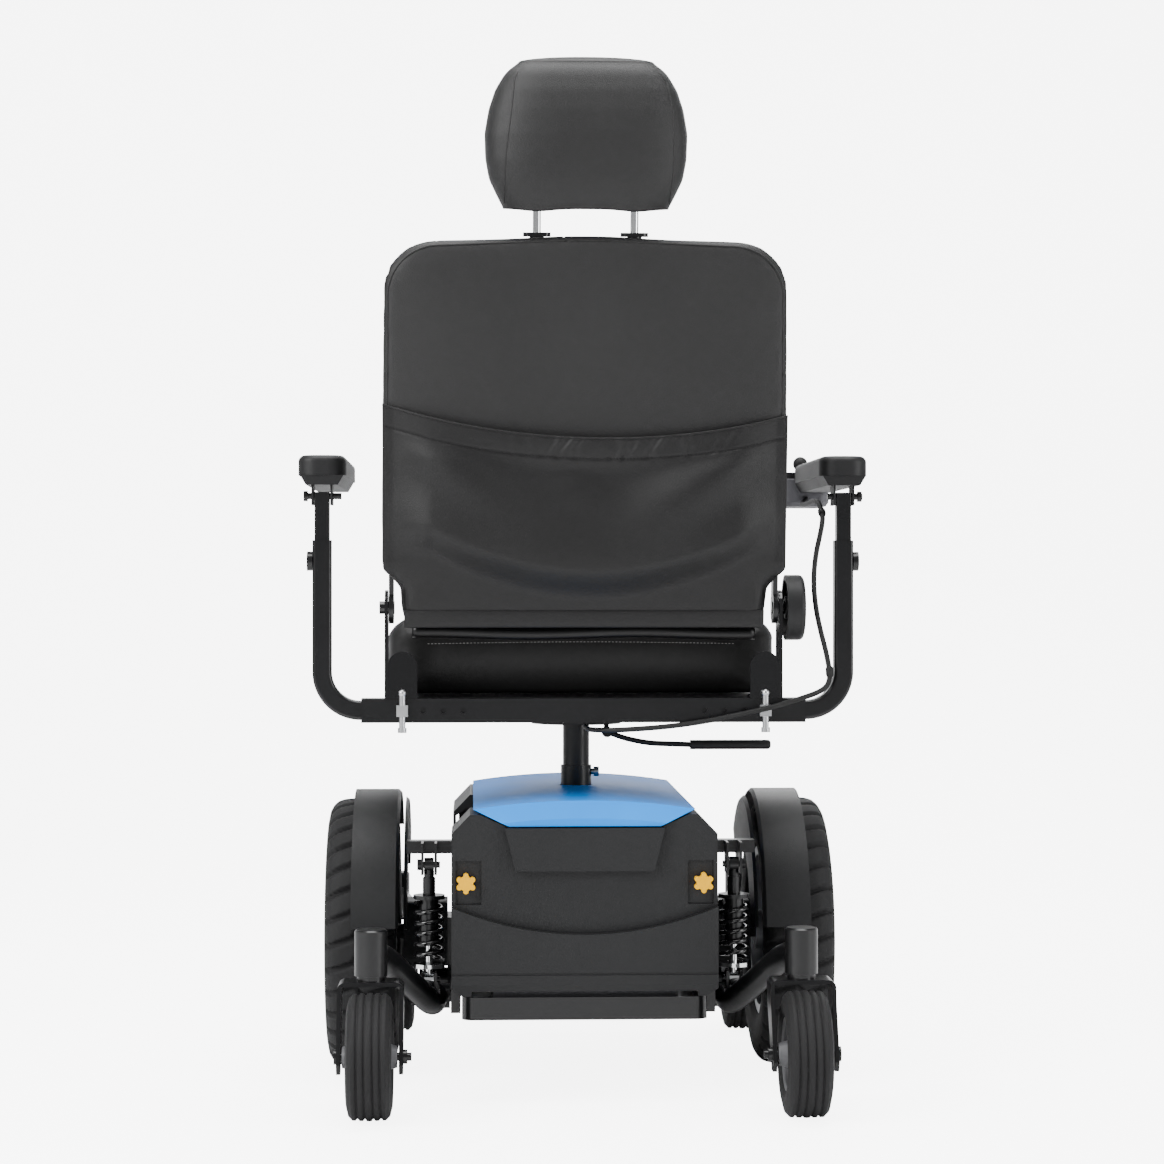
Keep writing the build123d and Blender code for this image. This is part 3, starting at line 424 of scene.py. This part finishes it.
def swell(piece, material, voxel, pressure, cap, pinned):
    """Cloth under pressure with gravity off; a point moves at most cap, and pinned points barely."""
    even_mesh(piece, voxel)
    rest = places_of(piece)
    hold = np.clip(pinned(rest), 0, 1)
    group = piece.vertex_groups.new(name="seams")
    for level in np.unique(np.round(hold, 1)):
        if level > 0:
            chosen = np.flatnonzero(np.round(hold, 1) == level).tolist()
            group.add(chosen, float(level), "REPLACE")
    cloth = piece.modifiers.new("cloth", "CLOTH")
    cloth.settings.quality = 4
    cloth.settings.mass = 0.3
    cloth.settings.tension_stiffness = 12
    cloth.settings.compression_stiffness = 12
    cloth.settings.shear_stiffness = 5
    cloth.settings.bending_stiffness = 0.6
    cloth.settings.use_pressure = True
    cloth.settings.uniform_pressure_force = pressure
    cloth.settings.effector_weights.gravity = 0
    cloth.settings.vertex_group_mass = "seams"
    cloth.settings.pin_stiffness = 1.0
    cloth.point_cache.frame_start = 1
    cloth.point_cache.frame_end = SETTLE_FRAMES
    for moment in range(1, SETTLE_FRAMES + 1):
        bpy.context.scene.frame_set(moment)
    graph = bpy.context.evaluated_depsgraph_get()
    result = piece.evaluated_get(graph).to_mesh()
    moved = np.empty(len(result.vertices) * 3)
    result.vertices.foreach_get("co", moved)
    piece.evaluated_get(graph).to_mesh_clear()
    shift = moved.reshape(-1, 3) - rest
    far = np.linalg.norm(shift, axis=1, keepdims=True)
    shift *= np.minimum(1, cap / np.maximum(far, 1e-9))
    piece.modifiers.clear()
    piece.vertex_groups.clear()
    bpy.context.scene.frame_set(1)
    piece.data.vertices.foreach_set("co", (rest + shift).ravel())
    piece.data.update()
    piece.data.materials.clear()
    piece.data.materials.append(material)
    piece.data.polygons.foreach_set("use_smooth", [True] * len(piece.data.polygons))
    relax = piece.modifiers.new("relax", "SMOOTH")
    relax.factor = 0.5
    relax.iterations = 3


# back cushion: full width above the hinges, narrower between them
back_corners = [
    (-0.224, -0.020),
    (0.224, -0.020),
    (0.227, 0.030),
    (0.252, 0.052),
    (0.249, 0.455),
    (0.0, 0.4645),
    (-0.249, 0.455),
    (-0.252, 0.052),
    (-0.227, 0.030),
]
back_radii = [0.012, 0.012, 0.012, 0.014, 0.062, 0.9, 0.062, 0.014, 0.012]
back_outline = rounded_outline(back_corners, back_radii)
back_pad = slab("back_pad", back_outline, -0.034, 0.032, 0.016, on_back, paint["vinyl_charcoal"])


def back_seams(points):
    """Pins the rear rim of the cover, where the flat rear panel meets the side band."""
    local = points - HINGE
    out = local @ REARWARD
    up = local @ UP
    edge = (np.abs(local[:, 0]) > 0.238) | (up > 0.446) | (up < 0.0)
    return ((out > 0.020) & edge) * 0.9 + (up < -0.008) * 0.9


swell(back_pad, paint["vinyl_charcoal"], 0.006, 4.0, 0.012, back_seams)
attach(back_pad, "backrest")
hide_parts("back_cushion")

# seat cushion: deep foam, held at its foot and along a seam round its upper edge
seat_outline = rounded_outline(
    [(-0.246, -0.254), (0.246, -0.254), (0.246, 0.184), (-0.246, 0.184)],
    [0.03, 0.03, 0.05, 0.05],
)
seat_pad = slab(
    "seat_pad",
    seat_outline,
    0.503,
    0.600,
    0.022,
    lambda x, y, z: np.stack([x, y, z], axis=-1),
    paint["vinyl_charcoal"],
)
swell(
    seat_pad,
    paint["vinyl_charcoal"],
    0.006,
    4.0,
    0.009,
    lambda p: (np.abs(p[:, 2] - 0.578) < 0.003) * 0.9 + (p[:, 2] < 0.508) * 1.0,
)
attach(seat_pad, "seat")
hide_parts("seat_cushion")

# headrest: a thick pad, widest at half height, with big round shoulders, a flat foot and a low crown;
# the lists give its half width and half depth at each share of its height
HEAD_FOOT, HEAD_TOP = 0.4945, 0.6725
head_steps = [0, 0.04, 0.095, 0.20, 0.337, 0.511, 0.674, 0.809, 0.9185, 0.972, 1.0]
head_halves = [0.1010, 0.1050, 0.1100, 0.1190, 0.1235, 0.1245, 0.1195, 0.1115, 0.0995, 0.0890, 0.0800]
head_depths = [0.0350, 0.0400, 0.0440, 0.0490, 0.0520, 0.0525, 0.0500, 0.0455, 0.0390, 0.0335, 0.0280]


def eased(t, steps, values):
    """A curve through the values, with its corners rounded by averaging over a short stretch."""
    spread = np.linspace(-0.025, 0.025, 9)
    return np.mean([np.interp(t + d, steps, values) for d in spread], axis=0)


def head_points(count=72, sides=240):
    """Level rings: x = half * sgn(cos a) |cos a|^0.55, out = depth * sgn(sin a) |sin a|^0.75, whose
    halves follow the profile above. The foot's and the crown's rings shrink to the middle, and the foot
    hangs a little lower at the two rods."""
    angle = np.linspace(0, 2 * pi, sides, endpoint=False)[None]
    wall = np.linspace(0, 1, count)
    foot_rings = np.linspace(0.03, 0.96, 8)
    crown_rings = np.cos(np.linspace(0.1, 1.54, 16))
    shrink = np.concatenate([foot_rings, np.ones(count), crown_rings])
    t = np.concatenate([np.zeros(8), wall, np.ones(16)])
    up = HEAD_FOOT + (HEAD_TOP - HEAD_FOOT) * t
    up[-16:] += 0.0065 * np.sqrt(1 - shrink[-16:] ** 2) ** 1.2
    half = (eased(t, head_steps, head_halves) * shrink)[:, None]
    depth = (eased(t, head_steps, head_depths) * shrink)[:, None]
    x = half * np.sign(np.cos(angle)) * np.abs(np.cos(angle)) ** 0.55
    out = depth * np.sign(np.sin(angle)) * np.abs(np.sin(angle)) ** 0.75
    low = np.exp(-(((np.abs(x) - 0.060) / 0.024) ** 2)) * 0.0028 * np.clip(1 - 9 * t, 0, 1)[:, None]
    return on_back(x, up[:, None] - low, out - 0.004 - 0.010 * t[:, None] ** 2)


head_pad = grid_piece("head_pad", head_points(), paint["vinyl_charcoal"], close_v=True, caps=True)
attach(head_pad, "headrest")
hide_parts("headrest")

# ---------------------------------------------------------------- tyres
# Drive tyres are solid rubber with slanted bars in two staggered rows, which meet at a zigzag groove.
# Caster tyres are grey-black rubber with five ribs, moulded on a nylon hub.
WHEEL_X, WHEEL_Z = 0.283, 0.178
CASTER_Z = 0.076
TREAD_DEPTH = 0.0062


def drive_tread(name, side, body):
    """Radius over angle and width: the tyre's section, less the tread where its zigzag and cross cuts run."""
    around, width = 560, 64
    angle = np.linspace(0, 2 * pi, around, endpoint=False)[:, None]
    # section, from one bead over the tread to the other: offset across and radius in mm
    bead = [(-38, 112), (-44, 122), (-46, 138), (-46, 152), (-44, 162), (-40, 169), (-34, 174)]
    face = [(-26, 176.5), (-13, 177.6), (0, 178), (13, 177.6), (26, 176.5)]
    section = np.array(bead + face + [(-a, b) for a, b in reversed(bead)]) / 1000
    run = np.concatenate([[0], np.cumsum(np.linalg.norm(np.diff(section, axis=0), axis=1))])
    even = np.linspace(0, run[-1], width)
    across = np.interp(even, run, section[:, 0])[None, :]
    radius = np.interp(even, run, section[:, 1])[None, :]
    # tread cuts
    lugs = 34
    phase = angle * lugs / (2 * pi)
    wave = 0.0065 * (2 * np.abs(2 * (phase % 1) - 1) - 1)
    middle = np.abs(across - wave)
    zigzag = np.clip(1 - (middle - 0.0022) / 0.0012, 0, 1)
    lean = across * 11 + np.where(across > wave, 0.5, 0.0)
    cut = np.abs(((phase + lean) % 1) - 0.5)
    cross = np.clip(1 - (cut - 0.085) / 0.035, 0, 1) * np.clip((np.abs(across) - 0.004) / 0.002, 0, 1)
    tread = np.clip((radius - 0.160) / 0.006, 0, 1)
    r = radius - TREAD_DEPTH * np.maximum(zigzag, cross) * tread
    points = np.stack(
        [
            side * WHEEL_X + across + 0 * angle,
            AXLE_Y + r * np.cos(angle),
            WHEEL_Z + r * np.sin(angle),
        ],
        axis=-1,
    )
    tyre = grid_piece(name, points, paint["tyre_black"], close_u=True, close_v=True)
    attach(tyre, body)
    return tyre


def wheel_turned(name, centre, section, material, body, around=120, grooves=()):
    """A section of (offset, radius) in millimetres, turned about a line along X through centre."""
    section = np.array(section, float) / 1000
    run = np.concatenate([[0], np.cumsum(np.linalg.norm(np.diff(section, axis=0), axis=1))])
    even = np.unique(np.concatenate([run, np.linspace(0, run[-1], 90)]))
    across = np.interp(even, run, section[:, 0])
    radius = np.interp(even, run, section[:, 1])
    for place, half, depth in grooves:
        share = np.clip(1.6 - np.abs(across * 1000 - place) / half, 0, 1)
        radius = radius - depth / 1000 * share * (radius > 0.070)
    angle = np.linspace(0, 2 * pi, around, endpoint=False)[:, None]
    points = np.stack(
        [
            centre[0] + across[None] + 0 * angle,
            centre[1] + radius[None] * np.cos(angle),
            centre[2] + radius[None] * np.sin(angle),
        ],
        axis=-1,
    )
    piece = grid_piece(name, points, material, close_u=True, close_v=True)
    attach(piece, body)
    return piece


paint["hub_grey"] = finish("hub_grey", (0.10, 0.10, 0.105), 0.42, depth=0.2)
caster_half = [(-24, 44), (-27, 52), (-27.5, 60), (-25, 70), (-20, 75)]
caster_section = caster_half + [(0, 76)] + [(-a, b) for a, b in reversed(caster_half)]
hub_half = [(-33, 6), (-33, 13), (-29, 14), (-10, 20), (-8, 38), (-22, 40), (-24, 44.2)]
hub_section = hub_half + [(-a, b) for a, b in reversed(hub_half)]
caster_ribs = [(-14, 1.3, 2.6), (-5, 1.3, 2.6), (5, 1.3, 2.6), (14, 1.3, 2.6)]
for side, tag in ((-1, "left"), (1, "right")):
    tyre = drive_tread(f"drive_tread_{tag}", side, f"wheel_{tag}")
    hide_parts(f"drive_tyre_{tag}")
    for end, x, y in (("rear", 0.262, -0.445), ("front", 0.250, 0.220)):
        centre = (side * x, y, CASTER_Z)
        body = f"{end}_caster_{tag}"
        name = f"{end}_caster_tyre_{tag}"
        ribbed = wheel_turned(name, centre, caster_section, paint["tyre_black"], body, grooves=caster_ribs)
        name = f"{end}_caster_hub_{tag}"
        hub = wheel_turned(name, centre, hub_section, paint["hub_grey"], body, around=64)
        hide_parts(f"{end}_caster_{tag}")

# ---------------------------------------------------------------- backrest cover and map pocket
# The cover's rear panel is edged with a welt. A nylon pocket is sewn on along its sides and foot;
# its mouth has an elastic hem that gathers the cloth, so the mouth sags and long folds fall from it.


def surface_of(piece):
    """A lookup of the piece's surface, for laying seams on it."""
    faces = [tuple(face.vertices) for face in piece.data.polygons]
    return BVHTree.FromPolygons([tuple(place) for place in places_of(piece)], faces)


def laid_on(tree, points, direction, lift):
    """Each point is moved along direction onto the surface, then lifted off it by lift."""
    landed = []
    for point in points:
        start = Vector(point) - Vector(direction) * 0.12
        hit = tree.ray_cast(start, Vector(direction), 0.3)[0]
        landed.append(point if hit is None else np.array(hit) - np.array(direction) * lift)
    return np.array(landed)


back_tree = surface_of(back_pad)


def rear_height(x, up):
    """How far the stuffed back's rear face stands out at each x and up."""
    flat = on_back(x, up, np.full_like(x, 0.15)).reshape(-1, 3)
    out = np.empty(len(flat))
    for i, point in enumerate(flat):
        hit = back_tree.ray_cast(Vector(point), Vector(-REARWARD), 0.3)[0]
        out[i] = np.nan if hit is None else (np.array(hit) - HINGE) @ REARWARD
    out = np.where(np.isnan(out), np.nanmedian(out) - 0.01, out)
    return out.reshape(x.shape)


def soft_step(t):
    """0 below 0, 1 above 1, and smooth between."""
    t = np.clip(t, 0, 1)
    return t * t * (3 - 2 * t)


def ridge(x, up, start, end, width, height):
    """A long soft fold between two points: highest just short of halfway, fading to both ends."""
    start, end = np.array(start), np.array(end)
    run = end - start
    t = ((x - start[0]) * run[0] + (up - start[1]) * run[1]) / (run @ run)
    held = np.clip(t, 0, 1)
    off = np.hypot(x - start[0] - held * run[0], up - start[1] - held * run[1])
    fade = soft_step(t / 0.40) * (1 - soft_step((t - 0.45) / 0.60))
    return height * fade * np.exp(-((off / (width * (0.8 + 0.7 * held))) ** 2))


POCKET_U = np.linspace(-1, 1, 361)[:, None]
POCKET_V = np.linspace(0, 1, 161)[None, :]
HEM_DEPTH = 0.0258  # from the mouth down to the row of stitches


def mouth_at(u):
    """Height of the pocket's mouth: it sags to a low point right of the middle."""
    return 0.2165 + 0.0365 * ((u - 0.10) / 1.05) ** 2


def pocket_points():
    """Cloth over x and up. It stands off the cover by a belly that tucks back in above the foot, plus two
    long folds that fall from the top corners towards the middle, and fainter ones beside them. Its hem
    is gathered in the middle and sewn down along a shallow groove."""
    u, v = POCKET_U, POCKET_V
    foot = 0.001
    up = foot + (mouth_at(u) - foot) * v
    x = u * (0.224 + 0.0255 * soft_step((up - 0.026) / 0.03))
    base = rear_height(np.clip(x, -0.236, 0.236), np.clip(up, 0.004, 0.4))
    side = soft_step((1 - np.abs(u)) / 0.25)
    under = 0.012 + 0.040 * (np.clip(np.abs(x - 0.01), 0, 0.2) / 0.17) ** 2
    tuck = soft_step((up - under) / 0.046)
    belly = 0.021 * side * tuck * (1 - 0.80 * soft_step((up - 0.060) / 0.13))
    folds = ridge(x, up, (-0.244, 0.222), (-0.040, 0.108), 0.030, 0.0130)
    folds = folds + ridge(x, up, (0.244, 0.216), (0.030, 0.100), 0.030, 0.0160)
    folds = folds + ridge(x, up, (-0.250, 0.165), (-0.090, 0.050), 0.030, 0.0045)
    folds = folds + ridge(x, up, (0.250, 0.140), (0.120, 0.050), 0.030, 0.0045)
    folds = folds + ridge(x, up, (-0.020, 0.182), (-0.012, 0.118), 0.030, 0.0035)
    top = soft_step((up - mouth_at(u) + 0.050) / 0.04)
    slack = 0.0060 * (1 - np.abs(u) ** 2.0) * top
    out = 0.0015 + belly + folds * soft_step((1 - np.abs(u)) / 0.12) * (1 - 0.8 * top) + slack
    below = mouth_at(u) - up
    middle = np.exp(-(((u - 0.14) / 0.50) ** 4)) * soft_step((0.030 - below) / 0.006)
    slant = x + 0.30 * below + 0.004 * np.sin(below * 160 + x * 60)
    gather = np.sin(slant * 2 * pi / 0.0235 + 1.9 * np.sin(slant * 31))
    gather = gather + 0.6 * np.sin(slant * 2 * pi / 0.0161 + 2)
    out = out + 0.0007 * middle * gather - 0.0011 * np.exp(-(((below - HEM_DEPTH) / 0.0016) ** 2))
    out = 0.0012 + (out - 0.0012) * soft_step((1 - np.abs(u)) / 0.03) * soft_step(v / 0.05)
    return on_back(x, up, base + out)


pocket_cloth = pocket_points()
pocket = grid_piece("map_pocket", pocket_cloth, paint["cloth_charcoal"])
solid = pocket.modifiers.new("thickness", "SOLIDIFY")
solid.thickness = 0.0010
solid.offset = 1
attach(pocket, "backrest")
hem = grid_piece(
    "pocket_hem",
    tube_points(pocket_cloth[:, -1] + REARWARD * 0.0004, 0.0015, sides=14),
    paint["cloth_charcoal"],
    close_v=True,
    caps=True,
)
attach(hem, "backrest")

# the band that closes the cover's foot
band_u = np.linspace(-1, 1, 121)[:, None]
band_angle = np.linspace(0, 2 * pi, 16, endpoint=False)[None]
band_up = -0.0095 + 0.0110 * np.cos(band_angle) + 0 * band_u
band_x = 0.2235 * band_u + 0 * band_angle
band_base = rear_height(np.clip(band_x, -0.21, 0.21), np.clip(band_up, -0.006, 0.01))
band_out = band_base + 0.0012 + 0.0026 * np.sin(band_angle) * (1 - np.abs(band_u) ** 12)
band_rings = on_back(band_x, band_up, band_out)
foot_band = grid_piece("foot_band", band_rings, paint["cloth_charcoal"], close_v=True, caps=True)
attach(foot_band, "backrest")

# rows of stitching, one short thread after another
paint["thread_dark"] = finish("thread_dark", (0.003, 0.003, 0.003), 0.7, depth=0.1)
paint["thread_pale"] = finish("thread_pale", (0.30, 0.30, 0.29), 0.7, depth=0.1)


def stitch_row(name, line, body, material, pitch=0.0042, thread=0.00045, share=0.62):
    """Small spindles laid end to end along a line, with a gap between each two."""
    run = np.concatenate([[0], np.cumsum(np.linalg.norm(np.diff(line, axis=0), axis=1))])
    starts = np.arange(0, run[-1] - pitch, pitch)
    t = np.linspace(0, 1, 4)
    along = starts[:, None] + t[None] * pitch * share
    spine = np.stack([np.interp(along, run, line[:, k]) for k in range(3)], axis=-1)
    heading = spine[:, -1:] - spine[:, :1]
    heading /= np.linalg.norm(heading, axis=2, keepdims=True)
    side = np.cross(heading, np.array([0.3, 1.0, 0.2]))
    side /= np.linalg.norm(side, axis=2, keepdims=True)
    other = np.cross(heading, side)
    angle = np.linspace(0, 2 * pi, 6, endpoint=False)
    wide = thread * np.array([0.5, 1, 1, 0.5])[None, :, None, None]
    cosine, sine = np.cos(angle)[None, None, :, None], np.sin(angle)[None, None, :, None]
    points = spine[:, :, None] + wide * (cosine * side[:, :, None] + sine * other[:, :, None])
    count, rings, sides = points.shape[:3]
    index = np.arange(count * rings * sides).reshape(count, rings, sides)
    following = np.roll(index, -1, axis=2)
    corners = [index[:, :-1], following[:, :-1], following[:, 1:], index[:, 1:]]
    quads = np.stack([c.ravel() for c in corners], axis=1).tolist()
    ends = np.concatenate([index[:, 0, ::-1], index[:, -1]]).tolist()
    mesh = bpy.data.meshes.new(name)
    mesh.from_pydata(points.reshape(-1, 3).tolist(), [], quads + ends)
    mesh.materials.append(material)
    piece = bpy.data.objects.new(name, mesh)
    bpy.context.collection.objects.link(piece)
    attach(piece, body)
    return piece


def on_pocket(u, below):
    """The line on the pocket's face that runs a set distance below its mouth."""
    last = len(pocket_cloth) - 1
    rows = np.clip(np.round((u + 1) / 2 * last).astype(int), 0, last)
    local = pocket_cloth[rows] - HINGE
    up = mouth_at(u) - below
    out = [np.interp(h, ups, outs) for h, ups, outs in zip(up, local @ UP, local @ REARWARD)]
    return on_back(0.2495 * u, up, np.array(out) + 0.0012)


hem_u = np.linspace(-0.985, 0.985, 400)
hem_line = on_pocket(hem_u, np.full(400, HEM_DEPTH))
hem_stitch = stitch_row("hem_stitching", hem_line, "backrest", paint["thread_dark"])


def welt(name, line, radius, body):
    """Covered piping: a round cord laid on a seam."""
    rings = tube_points(line, radius, sides=8)
    piece = grid_piece(name, rings, paint["vinyl_charcoal"], close_v=True, caps=True)
    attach(piece, body)


def closed_line(outline, count):
    """Even points round a closed outline."""
    loop = np.vstack([outline, outline[:1]])
    run = np.concatenate([[0], np.cumsum(np.linalg.norm(np.diff(loop, axis=0), axis=1))])
    even = np.linspace(0, run[-1], count, endpoint=False)
    return np.stack([np.interp(even, run, loop[:, 0]), np.interp(even, run, loop[:, 1])], axis=1)


# the rear panel's seam runs just inside the cushion's outline, and is left open at the foot
rim = closed_line(rounded_outline(np.array(back_corners) * [0.972, 1.0], back_radii), 420)
rim[:, 1] = np.where(rim[:, 1] > 0.3, rim[:, 1] - 0.007, rim[:, 1])
rim = rim[rim[:, 1] > 0.0]
rim = np.roll(rim, -int(np.argmax(np.linalg.norm(np.diff(rim, axis=0), axis=1))) - 1, axis=0)
rim_line = laid_on(back_tree, on_back(rim[:, 0], rim[:, 1], np.full(len(rim), 0.04)), -REARWARD, 0.0)
welt("back_welt", rim_line, 0.0011, "backrest")

# the headrest's two side seams
head_tree = surface_of(head_pad)
seam_ups = np.linspace(0.502, 0.660, 60)
head_seams = {
    "head_seam_left": ([0.495, 0.56, 0.615, 0.65, 0.672], [-0.1010, -0.0985, -0.0915, -0.0880, -0.0790]),
    "head_seam_right": ([0.495, 0.54, 0.61, 0.648, 0.672], [0.1010, 0.1050, 0.1050, 0.0975, 0.0790]),
}
for name, (ups, sides) in head_seams.items():
    line = on_back(np.interp(seam_ups, ups, sides), seam_ups, np.full(60, 0.10))
    welt(name, laid_on(head_tree, line, -REARWARD, -0.0002), 0.0009, "headrest")

# the black roll under the back's foot, whose near-black colour is partly painted shade for the gap it sits
# in, and the pale stitching along the seat cushion's rear edge
# painted shade: the roll is a real black tube, coloured near-black so it also stands for the shadow in the
# gap under the back's foot
paint["gloss_roll_gap_shade"] = finish("gloss_roll_gap_shade", (0.003, 0.003, 0.0032), 0.36, relief=peel_relief, depth=0.05)
roll_x = np.linspace(-0.214, 0.214, 60)
roll_up = -0.029 + 0.0015 * np.sin(roll_x * 24)
roll = grid_piece(
    "foot_roll",
    tube_points(on_back(roll_x, roll_up, np.full(60, 0.012)), 0.0085, sides=20),
    paint["gloss_roll_gap_shade"],
    close_v=True,
    caps=True,
)
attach(roll, "backrest")
seat_tree = surface_of(seat_pad)
edge_x = np.linspace(-0.196, 0.196, 260)
edge_line = np.stack([edge_x, np.full(260, -0.30), 0.567 + 0.002 * np.cos(edge_x * 9)], axis=1)
edge_line = laid_on(seat_tree, edge_line, (0, 1, 0), 0.0004)
stitch_row("seat_stitching", edge_line, "seat", paint["thread_pale"], pitch=0.0045, thread=0.0004)

# ---------------------------------------------------------------- controller's shell
# The controller's lower shell is a thin grey skin round its housing, drawn in at the foot. It ends at
# the split line, a little below the black upper half, and moves with the right arm pad.
shell_corners = [(0.2812, -0.0229), (0.3468, -0.0229), (0.3468, 0.0849), (0.2812, 0.0849)]
shell_outline = rounded_outline(shell_corners, [0.0145] * 4)
shell_middle = shell_outline.mean(axis=0)
shell_rings = []
# each ring's height, and its size as a share of the outline
shell_foot = [(0.7475, 0.02), (0.7475, 0.82), (0.7482, 0.90), (0.7535, 1.0)]
shell_profile = shell_foot + [(0.7845, 1.0), (0.7855, 0.985)]
for height, share in shell_profile:
    ring = shell_middle + (shell_outline - shell_middle) * share
    shell_rings.append(np.column_stack([ring, np.full(len(ring), height)]))
shell_rings = np.array(shell_rings)
shell = grid_piece(
    "controller_shell", shell_rings, paint["battery_grey"], close_v=True, caps=True, smooth=False
)
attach(shell, "arm_pad_right")
